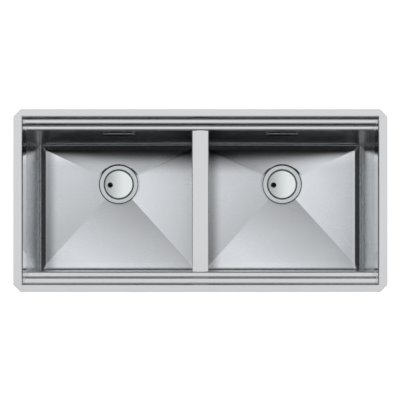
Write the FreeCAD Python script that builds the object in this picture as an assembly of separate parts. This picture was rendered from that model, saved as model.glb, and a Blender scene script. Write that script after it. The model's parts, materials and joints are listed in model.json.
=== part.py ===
import FreeCAD
import Part
import math
import os

# Undermount double-bowl workstation sink, folded and welded from stainless sheet.
# Millimetres. The origin is the middle of the rim's top face: +X runs to the right
# along the rim, +Y to the rear, +Z up. The worktop sits on the rim at z = 0.

# Rim
rim_length = 940.0
rim_width = 460.0
rim_corner_cut = 18.5
rim_side_width = 23.0
rim_rear_width = 20.5
rim_front_width = 21.0
rim_skirt = 8.0
sheet = 1.2
edge_bend_radius = 3.0
foot_bend_radius = 2.5

# Stepped ledges along the rear and the front, each measured wall to wall
upper_ledge_depth = 16.0
lower_ledge_step = 16.0
rear_upper_ledge = 13.5
rear_lower_ledge = 12.5
front_upper_ledge = 16.0
front_lower_ledge = 15.0

# Bowls
bowl_depth = 200.0
rear_wall_lean = 8.3
front_wall_lean = 4.2
floor_bend_radius = 14.5
floor_fall = 6.0
bowl_gap = 24.0

# Bridge over the gap between the bowls
bridge_width = 42.0
bridge_drop = 6.0
bridge_lip = 8.0
bridge_bend_radius = 1.8

# Waste: a sheet strainer cup clamped through the floor to a moulded body below
drain_setback = 109.2
recess_radius = 55.0
recess_depth = 7.0
waste_flange_radius = 53.5
strainer_cup_radius = 42.6
strainer_cup_depth = 28.5
strainer_slots = 6
strainer_slot_width = 6.0
strainer_slot_inner = 11.0
strainer_slot_outer = 27.0
floor_hole_clearance = 1.2
seal_thickness = 2.0
waste_body_wall = 4.5
waste_body_gap = 3.4
waste_body_height = 52.0
outlet_radius = 23.9
outlet_wall = 4.4
outlet_length = 38.0

# Basket, its stopper seal and the lid
basket_clearance = 0.8
basket_wall = 1.0
basket_height = 23.5
basket_slots = 6
basket_slot_width = 3.0
basket_slot_inner = 12.0
basket_slot_outer = 30.0
basket_tab_width = 14.0
basket_tab_height = 15.0
stopper_thickness = 3.0
stopper_overlap = 3.0
lid_gap = 2.0
lid_thickness = 2.8
lid_bevel_height = 1.4
lid_bevel_run = 1.6
finger_hole_radius = 7.4
finger_hole_offset = 23.8
finger_hole_forward = 2.0

# Overflow on the rear wall of each bowl
overflow_length = 86.0
overflow_height = 25.0
overflow_depth = 72.0
overflow_inward = 16.5
overflow_cover_sheet = 1.2
overflow_stand_off = 1.8
overflow_slot_length = 62.0
overflow_slot_height = 14.0
overflow_seal_thickness = 2.0
overflow_land = 7.0
overflow_box_depth = 26.0
overflow_box_wall = 2.0
overflow_box_flange = 2.0
clip_width = 8.0
clip_length = 14.0
clip_hook = 1.5
pipe_width = 30.0
pipe_depth = 15.0
pipe_wall = 1.8
pipe_clearance = 0.2
pipe_end_gap = 2.0
socket_wall = 2.2
socket_depth = 12.0
duct_drop = 20.0
duct_height = 22.0

# Sound pads glued under and beside the bowls
pad_thickness = 2.0
floor_pad_side_margin = 45.0
floor_pad_front_margin = 12.0
floor_pad_drain_margin = 12.0
side_pad_length = 240.0
side_pad_height = 90.0
front_pad_length = 300.0
wall_pad_depth = 120.0

# Places worked out from the sizes above
half_length = rim_length / 2
half_width = rim_width / 2
side_wall_x = half_length - rim_side_width
rear_wall_y = half_width - rim_rear_width
rear_step_y = rear_wall_y - rear_upper_ledge
rear_bowl_y = rear_step_y - rear_lower_ledge
front_wall_y = rim_front_width - half_width
front_step_y = front_wall_y + front_upper_ledge
front_bowl_y = front_step_y + front_lower_ledge
upper_ledge_z = -upper_ledge_depth
lower_ledge_z = upper_ledge_z - lower_ledge_step
floor_z = -bowl_depth
rear_floor_y = rear_bowl_y - rear_wall_lean
front_floor_y = front_bowl_y + front_wall_lean
bridge_top_z = lower_ledge_z - bridge_drop
seam_z = bridge_top_z - sheet
wall_height = lower_ledge_z - floor_z
rear_lean_angle = math.degrees(math.atan(rear_wall_lean / wall_height))
front_lean_angle = math.degrees(math.atan(front_wall_lean / wall_height))
bowl_inner_x = bowl_gap / 2
bowl_mid_x = (bowl_inner_x + side_wall_x) / 2
drain_y = rear_floor_y - drain_setback
recess_z = floor_z - recess_depth
floor_under_z = recess_z - sheet
waste_flange_z = recess_z
waste_flange_top = waste_flange_z + sheet
cup_floor_z = waste_flange_z - strainer_cup_depth
cup_seat_z = cup_floor_z + sheet
cup_inner_radius = strainer_cup_radius - sheet
floor_hole_radius = strainer_cup_radius + floor_hole_clearance
body_top_z = floor_under_z - seal_thickness
body_inner_radius = strainer_cup_radius + waste_body_gap
body_outer_radius = body_inner_radius + waste_body_wall
body_bottom_z = body_top_z - waste_body_height
body_floor_z = body_bottom_z + waste_body_wall
outlet_inner_radius = outlet_radius - outlet_wall
outlet_end_z = body_bottom_z - outlet_length
stopper_top_z = cup_seat_z + stopper_thickness
basket_radius = cup_inner_radius - basket_clearance
basket_top_z = stopper_top_z + basket_height
lid_radius = cup_inner_radius - lid_gap
lid_top_z = basket_top_z + lid_thickness
overflow_z = -overflow_depth
overflow_x = bowl_mid_x - overflow_inward
overflow_box_length = overflow_slot_length + 2 * overflow_land
overflow_box_height = overflow_slot_height + 2 * overflow_land
overflow_box_start = sheet + overflow_seal_thickness
overflow_box_mouth = overflow_box_start + overflow_box_flange
overflow_box_back = overflow_box_mouth + overflow_box_depth
overflow_foot_z = overflow_z - overflow_box_height / 2
duct_top_z = body_top_z - duct_drop
duct_bottom_z = duct_top_z - duct_height
duct_socket_z = duct_top_z - socket_wall
reach = rim_length
above = 30.0

X_AXIS = FreeCAD.Vector(1, 0, 0)
Z_AXIS = FreeCAD.Vector(0, 0, 1)
ORIGIN = FreeCAD.Vector(0, 0, 0)
SIDES = {"left": -1, "right": 1}


def on_yz(u, v):
    """A section point in the front-to-rear plane."""
    return FreeCAD.Vector(0, u, v)


def on_xz(u, v):
    """A section point in the side-to-side plane."""
    return FreeCAD.Vector(u, 0, v)


def on_xy(u, v):
    """A plan point."""
    return FreeCAD.Vector(u, v, 0)


def rounded_face(corners, place):
    """Face of a closed outline of (u, v, radius) corners, each radius 0 left sharp."""
    starts = []
    ends = []
    arcs = []
    count = len(corners)
    for index, (u, v, radius) in enumerate(corners):
        corner = place(u, v)
        before = place(*corners[index - 1][:2]) - corner
        after = place(*corners[(index + 1) % count][:2]) - corner
        if radius == 0:
            starts.append(corner)
            ends.append(corner)
            arcs.append(None)
            continue
        before.normalize()
        after.normalize()
        half_angle = before.getAngle(after) / 2
        bisector = before + after
        bisector.normalize()
        run = radius / math.tan(half_angle)
        middle = corner + bisector * (radius / math.sin(half_angle) - radius)
        starts.append(corner + before * run)
        ends.append(corner + after * run)
        arcs.append(Part.Arc(starts[-1], middle, ends[-1]).toShape())
    edges = []
    for index in range(count):
        if arcs[index]:
            edges.append(arcs[index])
        nxt = starts[(index + 1) % count]
        if ends[index].distanceToPoint(nxt) > 1e-6:
            edges.append(Part.makeLine(ends[index], nxt))
    return Part.Face(Part.Wire(edges))


def swollen(corners, distance):
    """The same counter-clockwise outline moved outwards, with its radii to suit."""
    count = len(corners)
    lines = []
    for index in range(count):
        u0, v0 = corners[index][:2]
        u1, v1 = corners[(index + 1) % count][:2]
        length = math.hypot(u1 - u0, v1 - v0)
        du = (u1 - u0) / length
        dv = (v1 - v0) / length
        lines.append((u0 + dv * distance, v0 - du * distance, du, dv))
    moved = []
    for index in range(count):
        pu, pv, pdu, pdv = lines[index - 1]
        qu, qv, qdu, qdv = lines[index]
        cross = pdu * qdv - pdv * qdu
        step = ((qu - pu) * qdv - (qv - pv) * qdu) / cross
        radius = corners[index][2]
        if radius:
            radius += distance if cross > 0 else -distance
        moved.append((pu + pdu * step, pv + pdv * step, radius))
    return moved


def sharp(corners):
    """The same outline with every corner left sharp."""
    return [(u, v, 0.0) for u, v, radius in corners]


def box(x0, x1, y0, y1, z0, z1):
    """Box between two corners."""
    corner = FreeCAD.Vector(min(x0, x1), min(y0, y1), min(z0, z1))
    return Part.makeBox(abs(x1 - x0), abs(y1 - y0), abs(z1 - z0), corner)


def cylinder(radius, z0, z1, x, y):
    """Upright cylinder between two heights."""
    return Part.makeCylinder(radius, z1 - z0, FreeCAD.Vector(x, y, z0))


def turned(points, x=0.0, y=0.0):
    """Solid of revolution of (radius, z) points about an upright axis."""
    outline = [on_xz(radius, z) for radius, z in points]
    face = Part.Face(Part.makePolygon(outline + outline[:1]))
    solid = face.revolve(ORIGIN, Z_AXIS, 360)
    solid.translate(on_xy(x, y))
    return solid


def ring(inner, outer, z0, z1, x, y):
    """Flat ring between two heights."""
    return cylinder(outer, z0, z1, x, y).cut(cylinder(inner, z0, z1, x, y))


def mirrored(shape, side):
    """The piece of the right-hand bowl, or its mirror image on the left."""
    return shape if side > 0 else shape.mirror(ORIGIN, X_AXIS)


def shifted_between_sides(shape, side):
    """The piece of the right-hand bowl, or the same piece moved over to the left."""
    moved = shape.copy()
    if side < 0:
        moved.translate(X_AXIS * (-2 * bowl_mid_x))
    return moved


# ---------------------------------------------------------------- sheet sections

def long_section():
    """Front-to-rear section of the space inside the sheet: rim, ledges and bowl."""
    edge = edge_bend_radius
    foot = foot_bend_radius
    return [
        (front_floor_y, floor_z, floor_bend_radius),
        (rear_floor_y, floor_z, floor_bend_radius),
        (rear_bowl_y, lower_ledge_z, edge),
        (rear_step_y, lower_ledge_z, foot),
        (rear_step_y, upper_ledge_z, edge),
        (rear_wall_y, upper_ledge_z, foot),
        (rear_wall_y, 0.0, edge),
        (reach, 0.0, 0.0),
        (reach, above, 0.0),
        (-reach, above, 0.0),
        (-reach, 0.0, 0.0),
        (front_wall_y, 0.0, edge),
        (front_wall_y, upper_ledge_z, foot),
        (front_step_y, upper_ledge_z, edge),
        (front_step_y, lower_ledge_z, foot),
        (front_bowl_y, lower_ledge_z, edge),
    ]


def deck_section():
    """Side-to-side section of the space inside the rim, with sheer side walls."""
    deep = floor_z
    return [
        (-side_wall_x, deep, 0.0),
        (side_wall_x, deep, 0.0),
        (side_wall_x, 0.0, edge_bend_radius),
        (reach, 0.0, 0.0),
        (reach, above, 0.0),
        (-reach, above, 0.0),
        (-reach, 0.0, 0.0),
        (-side_wall_x, 0.0, edge_bend_radius),
    ]


def bowl_section():
    """Side-to-side section of the space inside the right-hand bowl."""
    return [
        (bowl_inner_x, floor_z, floor_bend_radius),
        (side_wall_x, floor_z, floor_bend_radius),
        (side_wall_x, above, 0.0),
        (bowl_inner_x, above, 0.0),
    ]


def crossed(long_corners, wide_corners):
    """Space common to the two sections, whose folds meet in mitred corners."""
    along_x = rounded_face(long_corners, on_yz).extrude(X_AXIS * (2 * reach))
    along_x.translate(X_AXIS * -reach)
    along_y = rounded_face(wide_corners, on_xz).extrude(FreeCAD.Vector(0, 2 * reach, 0))
    along_y.translate(FreeCAD.Vector(0, -reach, 0))
    return along_x.common(along_y)


def folded(wide_corners):
    """Sheet that wraps the crossed sections."""
    skin = crossed(swollen(long_section(), sheet), swollen(wide_corners, sheet))
    return skin.cut(crossed(long_section(), wide_corners))


def rim_outline():
    """Plan of the rim, with its corners cut at 45 degrees."""
    cut = rim_corner_cut
    plan = []
    for sx, sy in ((1, 1), (-1, 1), (-1, -1), (1, -1)):
        pair = [(sx * half_length, sy * (half_width - cut), 0.0),
                (sx * (half_length - cut), sy * half_width, 0.0)]
        plan += pair if sx * sy > 0 else pair[::-1]
    return rounded_face(plan, on_xy)


def deck_pieces():
    """Rim frame, ledge rails and end plates, cut from one folded sheet form."""
    sheet_form = folded(deck_section())
    blank = rim_outline().extrude(Z_AXIS * rim_skirt)
    blank.translate(Z_AXIS * -rim_skirt)
    wide = side_wall_x + sheet
    deep = rear_wall_y + sheet
    front = front_wall_y - sheet
    rear_zone = box(-side_wall_x, side_wall_x, 0, deep, seam_z, -rim_skirt)
    front_zone = box(-side_wall_x, side_wall_x, front, 0, seam_z, -rim_skirt)
    end_zone = box(side_wall_x, wide, front, deep, seam_z, -rim_skirt)
    pieces = {
        "rim_frame": sheet_form.common(blank),
        "rear_ledge_rail": sheet_form.common(rear_zone),
        "front_ledge_rail": sheet_form.common(front_zone),
    }
    end_plate = rounded_face(sharp(swollen(long_section(), sheet)), on_yz)
    end_plate = end_plate.extrude(X_AXIS * wide).common(end_zone)
    for name, side in SIDES.items():
        pieces[name + "_end_plate"] = mirrored(end_plate, side)
    return pieces


# ---------------------------------------------------------------- bowls

def bend_run(lean_angle):
    """How far the floor bend reaches in from a wall that leans by this angle."""
    return floor_bend_radius * math.tan(math.radians(90 - lean_angle) / 2)


def fall(drop=0.0):
    """Floor of the right-hand bowl: four flat falls from its edges to the drain."""
    top = floor_z - drop
    x0 = bowl_inner_x + floor_bend_radius
    x1 = side_wall_x - floor_bend_radius
    y0 = front_floor_y + bend_run(front_lean_angle)
    y1 = rear_floor_y - bend_run(rear_lean_angle)
    base = [FreeCAD.Vector(x0, y0, top), FreeCAD.Vector(x1, y0, top),
            FreeCAD.Vector(x1, y1, top), FreeCAD.Vector(x0, y1, top)]
    apex = FreeCAD.Vector(bowl_mid_x, drain_y, top - floor_fall)
    faces = [Part.Face(Part.makePolygon(base + base[:1]))]
    for index in range(4):
        corners = [base[index], base[(index + 1) % 4], apex, base[index]]
        faces.append(Part.Face(Part.makePolygon(corners)))
    return Part.Solid(Part.Shell(faces))


def bowl():
    """Right-hand bowl: folded walls and floor, drain recess and overflow slot."""
    x, y = bowl_mid_x, drain_y
    inside = crossed(long_section(), bowl_section())
    outside = crossed(swollen(long_section(), sheet), swollen(bowl_section(), sheet))
    inside = inside.fuse([fall(), cylinder(recess_radius, recess_z, floor_z, x, y)])
    outer_recess = cylinder(recess_radius + sheet, floor_under_z, floor_z - sheet, x, y)
    outside = outside.fuse([fall(sheet), outer_recess])
    zone = box(0, reach, -reach, reach, floor_under_z - above, seam_z)
    hole = cylinder(floor_hole_radius, floor_under_z - above, floor_z, x, y)
    slot = wall_box(overflow_slot_length, overflow_slot_height, -above, above)
    return outside.common(zone).cut([inside, hole, on_rear_wall(slot)])


def bridge():
    """Folded cap over the two middle walls, ending on the front and rear walls."""
    half = bridge_width / 2
    lip_z = bridge_top_z - bridge_lip
    outer = [(-half, lip_z, 0.0), (half, lip_z, 0.0),
             (half, bridge_top_z, bridge_bend_radius), (-half, bridge_top_z, bridge_bend_radius)]
    inner_radius = bridge_bend_radius - sheet
    inner = [(sheet - half, lip_z, 0.0), (half - sheet, lip_z, 0.0),
             (half - sheet, seam_z, inner_radius), (sheet - half, seam_z, inner_radius)]
    run = FreeCAD.Vector(0, 2 * reach, 0)
    channel = rounded_face(outer, on_xz).extrude(run)
    channel = channel.cut(rounded_face(inner, on_xz).extrude(run))
    channel.translate(FreeCAD.Vector(0, -reach, 0))
    return channel.common(crossed(long_section(), deck_section()))


# ---------------------------------------------------------------- pads

def floor_pad():
    """Pad under the front of the right-hand floor, following its falls."""
    x0 = bowl_inner_x + floor_pad_side_margin
    x1 = side_wall_x - floor_pad_side_margin
    y0 = front_floor_y + bend_run(front_lean_angle) + floor_pad_front_margin
    y1 = drain_y - recess_radius - sheet - floor_pad_drain_margin
    area = box(x0, x1, y0, y1, floor_z - above, floor_z - sheet)
    return fall(sheet + pad_thickness).fuse(thick_floor_slab()).cut(fall(sheet)).common(area)


def thick_floor_slab():
    """Slab that levels the pad's underside with the fall above it."""
    return box(bowl_inner_x, side_wall_x, front_floor_y, rear_floor_y,
               floor_z - sheet - pad_thickness, floor_z - sheet)


def side_pad():
    """Pad on the outside of the right-hand bowl's side wall."""
    x = side_wall_x + sheet
    half = side_pad_length / 2
    top = side_pad_height / 2 - wall_pad_depth
    return box(x, x + pad_thickness, -half, half, top - side_pad_height, top)


def front_pad():
    """Pad on the outside of the right-hand bowl's front wall."""
    half = front_pad_length / 2
    tall = side_pad_height / 2
    pad = box(-half, half, -sheet - pad_thickness, -sheet, -tall, tall)
    pad.rotate(ORIGIN, X_AXIS, front_lean_angle)
    drop = -lower_ledge_z - wall_pad_depth
    y = front_bowl_y - drop * front_wall_lean / wall_height
    pad.translate(FreeCAD.Vector(bowl_mid_x, y, -wall_pad_depth))
    return pad


# ---------------------------------------------------------------- waste

def around_drain(piece, count):
    """Copies of a piece spread evenly round the right-hand drain's axis."""
    copies = []
    for index in range(count):
        copy = piece.copy()
        copy.rotate(ORIGIN, Z_AXIS, 360.0 * index / count)
        copy.translate(on_xy(bowl_mid_x, drain_y))
        copies.append(copy)
    return copies


def strainer_flange():
    """Pressed cup with a flat flange and a slotted bottom."""
    cup = turned([
        (waste_flange_radius, waste_flange_z),
        (waste_flange_radius, waste_flange_top),
        (cup_inner_radius, waste_flange_top),
        (cup_inner_radius, cup_seat_z),
        (0.0, cup_seat_z),
        (0.0, cup_floor_z),
        (strainer_cup_radius, cup_floor_z),
        (strainer_cup_radius, waste_flange_z),
    ], bowl_mid_x, drain_y)
    half = strainer_slot_width / 2
    slot = box(strainer_slot_inner, strainer_slot_outer, -half, half, cup_floor_z, cup_seat_z)
    return cup.cut(around_drain(slot, strainer_slots))


def waste_seal():
    """Rubber ring between the underside of the floor and the waste body."""
    return ring(floor_hole_radius, waste_flange_radius, body_top_z, floor_under_z,
                bowl_mid_x, drain_y)


def waste_body():
    """Moulded cup with an outlet and a boxed duct behind for the overflow."""
    x, y = bowl_mid_x, drain_y
    cup = cylinder(body_outer_radius, body_bottom_z, body_top_z, x, y)
    tail = cylinder(outlet_radius, outlet_end_z, body_bottom_z, x, y)
    outer = pipe_clearance + socket_wall
    duct = pipe_block(outer, duct_bottom_z, duct_socket_z + socket_depth)
    duct = duct.fuse(duct_to_drain(outer, duct_bottom_z, duct_top_z))
    room = cylinder(body_inner_radius, body_floor_z, body_top_z, x, y)
    throat = cylinder(outlet_inner_radius, outlet_end_z, body_floor_z, x, y)
    channel = duct_to_drain(pipe_clearance, duct_bottom_z + socket_wall, duct_socket_z)
    socket = pipe_block(pipe_clearance, duct_bottom_z + socket_wall, duct_top_z + socket_depth)
    return cup.fuse([tail, duct]).cut([room, throat, channel, socket]).removeSplitter()


def basket():
    """Basket with a slotted bottom and an upright tab to lift it by."""
    floor_top = stopper_top_z + basket_wall
    tab_top = stopper_top_z + basket_tab_height
    x, y = bowl_mid_x, drain_y
    pan = cylinder(basket_radius, stopper_top_z, basket_top_z, x, y)
    room = cylinder(basket_radius - basket_wall, floor_top, basket_top_z, x, y)
    tab = box(x - basket_tab_width / 2, x + basket_tab_width / 2,
              y - basket_wall / 2, y + basket_wall / 2, floor_top, tab_top)
    half = basket_slot_width / 2
    slot = box(basket_slot_inner, basket_slot_outer, -half, half, stopper_top_z, floor_top)
    return pan.cut([room] + around_drain(slot, basket_slots)).fuse(tab).removeSplitter()


def basket_seal():
    """Rubber stopper under the basket, which closes the slots of the cup."""
    return cylinder(strainer_slot_outer + stopper_overlap, cup_seat_z, stopper_top_z,
                    bowl_mid_x, drain_y)


def lid():
    """Flat lid with a bevelled edge on the basket, with a finger hole to one side."""
    plate = turned([
        (0.0, basket_top_z),
        (lid_radius, basket_top_z),
        (lid_radius, lid_top_z - lid_bevel_height),
        (lid_radius - lid_bevel_run, lid_top_z),
        (0.0, lid_top_z),
    ], bowl_mid_x, drain_y)
    hole = cylinder(finger_hole_radius, basket_top_z, lid_top_z,
                    bowl_mid_x - finger_hole_offset, drain_y - finger_hole_forward)
    return plate.cut(hole)


# ---------------------------------------------------------------- overflow

def rear_wall_at(z):
    """Where the visible face of the leaning rear wall stands at this height."""
    return rear_bowl_y - (lower_ledge_z - z) * rear_wall_lean / wall_height


def on_rear_wall(shape):
    """Place a piece made about the wall's face, with +Y through the wall."""
    placed = shape.copy()
    placed.rotate(ORIGIN, X_AXIS, -rear_lean_angle)
    placed.translate(FreeCAD.Vector(overflow_x, rear_wall_at(overflow_z), overflow_z))
    return placed


def stadium(length, height, y0, y1):
    """Bar with round ends, standing on the wall's face between two distances."""
    half = length / 2
    end = height / 2
    round_end = end * 0.999
    plan = [(-half, -end, round_end), (half, -end, round_end),
            (half, end, round_end), (-half, end, round_end)]
    bar = rounded_face(plan, on_xz).extrude(FreeCAD.Vector(0, y1 - y0, 0))
    bar.translate(FreeCAD.Vector(0, y0, 0))
    return bar


def wall_box(length, height, y0, y1):
    """Block centred on the wall's face between two distances."""
    return box(-length / 2, length / 2, y0, y1, -height / 2, height / 2)


def overflow_cover():
    """Stadium-shaped plate that stands off the wall on two clips sprung into the slot."""
    front = -overflow_stand_off - overflow_cover_sheet
    plate = stadium(overflow_length, overflow_height, front, -overflow_stand_off)
    slot_end = overflow_slot_length / 2
    half = clip_width / 2
    clips = []
    for side in SIDES.values():
        outer_x = side * slot_end
        inner_x = side * (slot_end - overflow_cover_sheet)
        hook_x = side * (slot_end + clip_hook)
        leg = box(inner_x, outer_x, -overflow_stand_off, clip_length, -half, half)
        hook = box(inner_x, hook_x, clip_length, clip_length + clip_hook, -half, half)
        clips += [leg, hook]
    return on_rear_wall(plate.fuse(clips).removeSplitter())


def overflow_gasket():
    """Rubber frame between the wall and the overflow box behind it."""
    frame = wall_box(overflow_box_length, overflow_box_height, sheet, overflow_box_start)
    gap = wall_box(overflow_slot_length, overflow_slot_height, sheet, overflow_box_start)
    return on_rear_wall(frame.cut(gap))


def pipe_line_y():
    """Distance to the rear at which the overflow pipe stands."""
    inset = overflow_box_mouth + overflow_box_depth / 2
    return rear_wall_at(overflow_z) + inset


def pipe_block(grow, z0, z1):
    """Upright block on the pipe's line, larger than the pipe all round by a given amount."""
    x, y = bowl_mid_x, pipe_line_y()
    half_width = pipe_width / 2 + grow
    half_depth = pipe_depth / 2 + grow
    return box(x - half_width, x + half_width, y - half_depth, y + half_depth, z0, z1)


def duct_to_drain(grow, z0, z1):
    """Level block from the pipe's line to the drain's axis."""
    half_width = pipe_width / 2 + grow
    return box(bowl_mid_x - half_width, bowl_mid_x + half_width, drain_y, pipe_line_y(), z0, z1)


def overflow_box():
    """Moulded box behind the wall, with a socket below for the flat pipe."""
    length = overflow_box_length - 2 * overflow_box_flange
    height = overflow_box_height - 2 * overflow_box_flange
    wall = overflow_box_wall
    solid = wall_box(overflow_box_length, overflow_box_height, overflow_box_start,
                     overflow_box_mouth)
    solid = solid.fuse(wall_box(length, height, overflow_box_mouth, overflow_box_back))
    room = wall_box(length - 2 * wall, height - 2 * wall, overflow_box_start,
                    overflow_box_back - wall)
    foot = overflow_foot_z - socket_depth
    collar = pipe_block(pipe_clearance + socket_wall, foot, overflow_z)
    socket = pipe_block(pipe_clearance, foot, overflow_z)
    return on_rear_wall(solid).fuse(collar).cut([on_rear_wall(room), socket]).removeSplitter()


def overflow_pipe():
    """Flat straight pipe from the overflow box down into the duct of the waste body."""
    low = duct_socket_z + pipe_end_gap
    high = overflow_foot_z - pipe_end_gap
    return pipe_block(0.0, low, high).cut(pipe_block(-pipe_wall, low, high))


def in_both_bowls(piece):
    """A pair for the two bowls, in one group because the copies are identical."""
    return Part.makeCompound([shifted_between_sides(piece, side) for side in SIDES.values()])


def pieces_of_the_sink():
    """Every named piece in its place."""
    pieces = deck_pieces()
    pieces["bridge"] = bridge()
    handed_pieces = {
        "bowl": bowl(),
        "floor_pad": floor_pad(),
        "side_pad": side_pad(),
        "front_pad": front_pad(),
        "overflow_gasket": overflow_gasket(),
        "overflow_box": overflow_box(),
        "overflow_pipe": overflow_pipe(),
    }
    loose_pieces = {
        "basket": basket(),
        "basket_seal": basket_seal(),
        "lid": lid(),
    }
    for name, side in SIDES.items():
        for kind, shape in handed_pieces.items():
            pieces[name + "_" + kind] = mirrored(shape, side)
        for kind, shape in loose_pieces.items():
            pieces[name + "_" + kind] = shifted_between_sides(shape, side)
    pieces["strainer_flanges"] = in_both_bowls(strainer_flange())
    pieces["waste_seals"] = in_both_bowls(waste_seal())
    pieces["waste_bodies"] = in_both_bowls(waste_body())
    covers = [mirrored(overflow_cover(), side) for side in SIDES.values()]
    pieces["overflow_covers"] = Part.makeCompound(covers)
    return pieces


os.makedirs("parts", exist_ok=True)
for piece_name, piece_shape in pieces_of_the_sink().items():
    piece_shape.exportStep("parts/" + piece_name + ".step")
    print(piece_name, len(piece_shape.Solids), round(piece_shape.Volume), piece_shape.isValid())
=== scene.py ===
import bpy
import json
import math
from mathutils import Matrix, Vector


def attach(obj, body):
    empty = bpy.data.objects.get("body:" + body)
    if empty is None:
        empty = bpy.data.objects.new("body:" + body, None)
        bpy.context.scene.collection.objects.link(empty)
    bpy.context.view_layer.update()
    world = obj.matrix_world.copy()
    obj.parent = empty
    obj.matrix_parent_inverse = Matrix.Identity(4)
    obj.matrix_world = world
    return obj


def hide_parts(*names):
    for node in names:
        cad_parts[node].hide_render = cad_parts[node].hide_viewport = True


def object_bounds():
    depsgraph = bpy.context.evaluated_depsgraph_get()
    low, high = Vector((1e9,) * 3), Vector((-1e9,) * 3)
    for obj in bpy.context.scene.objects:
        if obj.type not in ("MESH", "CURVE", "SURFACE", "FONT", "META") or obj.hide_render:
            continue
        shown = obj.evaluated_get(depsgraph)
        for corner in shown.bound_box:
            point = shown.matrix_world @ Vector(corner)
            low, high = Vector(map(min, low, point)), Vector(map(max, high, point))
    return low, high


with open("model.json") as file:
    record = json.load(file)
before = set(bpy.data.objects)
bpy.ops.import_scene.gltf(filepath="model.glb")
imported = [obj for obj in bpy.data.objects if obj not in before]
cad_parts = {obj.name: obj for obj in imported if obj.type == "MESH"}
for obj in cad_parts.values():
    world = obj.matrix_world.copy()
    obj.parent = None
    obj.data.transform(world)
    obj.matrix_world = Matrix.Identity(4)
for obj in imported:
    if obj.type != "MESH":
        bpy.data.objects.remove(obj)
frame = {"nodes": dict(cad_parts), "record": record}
cad_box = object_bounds()
scene = bpy.context.scene
scene.view_settings.view_transform = "Standard"

MM = 0.001
SIDES = ("left", "right")
SHEET = 1.2
TURN = 96
FOLD_ANGLE = 35.0
EDGE_ANGLE = 50.0
DRAIN = {"left": (-229.5, 66.0), "right": (229.5, 66.0)}


# ------------------------------------------------------------------ camera

PICTURE_WIDTH = 400
FOOT_POINT_PIXEL = (200.4, 269.6)
FOCAL_PIXELS = 684.8
CAMERA_HEIGHT = 1.718
FOOT_POINT_Y = -0.1731
SENSOR = 36.0

camera = bpy.data.objects.new("overhead_camera", bpy.data.cameras.new("overhead_camera"))
scene.collection.objects.link(camera)
scene.camera = camera
camera.location = (0.0, FOOT_POINT_Y, CAMERA_HEIGHT)
camera.data.sensor_width = SENSOR
camera.data.lens = FOCAL_PIXELS / PICTURE_WIDTH * SENSOR
camera.data.shift_x = (PICTURE_WIDTH / 2 - FOOT_POINT_PIXEL[0]) / PICTURE_WIDTH
camera.data.shift_y = (FOOT_POINT_PIXEL[1] - PICTURE_WIDTH / 2) / PICTURE_WIDTH


# ------------------------------------------------------------------ materials

MATH = "ShaderNodeMath"
RAMP = "ShaderNodeMapRange"
SMOOTH = {"interpolation_type": "SMOOTHSTEP"}
BLACK = (0.0, 0.0, 0.0, 1.0)

# Real grooves are some hundredths of a millimetre wide; these are as coarse as they need to
# be to show.
GROOVE_WIDTH = 0.5
GROOVE_LENGTH = 25.0
GROOVE_ROUGH = 0.04
CLOUD_SIZE = 60.0
CLOUD_ROUGH = 0.03

# How far each fall of a bowl's floor reaches from the drain, and how softly their painted tones
# meet: at a crease, as a share of that reach, and across the drain's axis in millimetres.
FALL_REACH = {"side": 203.0, "front": 225.0, "rear": 95.4}
CREASE_BLEND = 0.008
AXIS_BLEND = 1.0

# Painted reflections and painted shade of a bowl, laid in its colour by place. They stand in for
# what the real bowl mirrors of its room, and are fitted to the photograph. On the floor: the most
# it has, then for each fall its tone at the drain, and the change of it for each metre to the
# right and to the rear.
FLOOR_TONE = 1.03
LEFT_TONE = (-0.32, -1.2, 0.6)
RIGHT_TONE = (0.09, -1.5, 0.0)
FRONT_TONE = (-0.57, -1.2, -2.2)
REAR_TONE = (0.0, 2.4, 0.0)

# Painted shade in strips along the floor's edges: from where to where, in millimetres, and how
# dark. The left one is added to the tone and the others take that share of it away.
LEFT_EDGE_SHADE = (-203.0, -168.0, -0.5)
REAR_EDGE_SHADE = (165.0, 115.0, 0.75)
INNER_EDGE_SHADE = (158.0, 92.0, 0.97)
INNER_BLEND = 0.045

# Where the floor's blur grows from that of its smooth rear strip to that of the brushed rest.
BRUSH_FADE = (162.0, 110.0)

# How far a face's normal leans up or aside, for the painted tones and the blur to change over
# between them.
LEAN_BEND = (0.08, 0.25)
LEAN_FLOOR = (0.95, 0.99)
LEAN_SIDE = (0.6, 0.95)

# Painted light on the upright walls and on the side walls, painted shade in the bend at a wall's
# foot, and the blur of each place. Above 1 the tone is a little more than the steel's own colour.
WALL_PAINTED_LIGHT = 1.35
BEND_PAINTED_SHADE = 0.5
SIDE_PAINTED_LIGHT = 1.3
FLOOR_ROUGH = 0.28
REAR_ROUGH = 0.1
WALL_ROUGH = 0.22
SIDE_ROUGH = 0.27

# Painted shade on the lid's left side, and from where to where it gives way to the full colour, so
# the right side reads as a highlight.
LID_PAINTED_SHADE = 0.5
LID_HIGHLIGHT = (-45.0, 22.0)

SPECKLE_DARK = 0.85


def linear(hex_colour):
    """Linear RGBA of an sRGB hex colour."""
    channels = [int(hex_colour[i:i + 2], 16) / 255 for i in (1, 3, 5)]
    return [c / 12.92 if c <= 0.04045 else ((c + 0.055) / 1.055) ** 2.4 for c in channels] + [1.0]


def add(tree, kind, settings=None, inputs=None):
    """A node with its settings, and with its inputs set or linked. A node among the inputs
    stands for its first output in use."""
    node = tree.nodes.new(kind)
    for name, value in (settings or {}).items():
        setattr(node, name, value)
    for name, value in (inputs or {}).items():
        if isinstance(value, bpy.types.Node):
            value = next(socket for socket in value.outputs if socket.enabled)
        if isinstance(value, bpy.types.NodeSocket):
            tree.links.new(value, node.inputs[name])
        else:
            node.inputs[name].default_value = value
    return node


def new_material(name):
    """A material and its empty node tree."""
    material = bpy.data.materials.new(name)
    material.use_nodes = True
    material.node_tree.nodes.clear()
    return material, material.node_tree


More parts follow.
